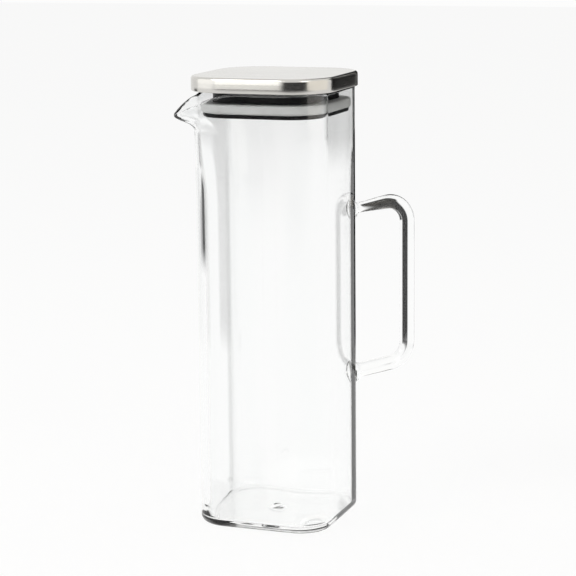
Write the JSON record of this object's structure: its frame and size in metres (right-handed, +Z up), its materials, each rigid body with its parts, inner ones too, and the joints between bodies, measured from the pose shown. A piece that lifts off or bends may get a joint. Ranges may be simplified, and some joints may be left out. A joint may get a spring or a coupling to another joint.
{
  "type": "glass pitcher with lid",
  "caption": "Tall square clear glass pitcher with a drawn corner spout, a clear rod handle on the opposite corner and a lift-off steel lid with a silicone gasket.",
  "frame": {"origin": "middle of the base, on the surface that the pitcher stands on", "axes": "+Z up the pitcher; the flat sides are square to X and Y; the spout is on the (-X, -Y) corner and the handle on the (+X, +Y) corner"},
  "size_m": [0.1175, 0.1175, 0.2776],
  "materials": {
    "body_glass": "clear blown borosilicate glass, polished",
    "handle_glass": "clear solid glass rod, flame worked",
    "cap_steel": "satin stainless sheet",
    "neck_plastic": "black moulded polypropylene",
    "gasket_silicone": "milky translucent silicone",
    "cover_plastic": "black moulded polypropylene"
  },
  "bodies": {
    "pitcher": {"glass_body": "body_glass", "glass_handle": "handle_glass"},
    "lid": {"lid_cap": "cap_steel", "lid_neck": "neck_plastic", "lid_gasket": "gasket_silicone", "lid_bottom_cover": "cover_plastic"}
  },
  "joints": [
    {"name": "lid_lift", "type": "slide", "parent": "pitcher", "child": "lid", "axis": [0, 0, 1], "range_m": [0, 0.06]}
  ]
}
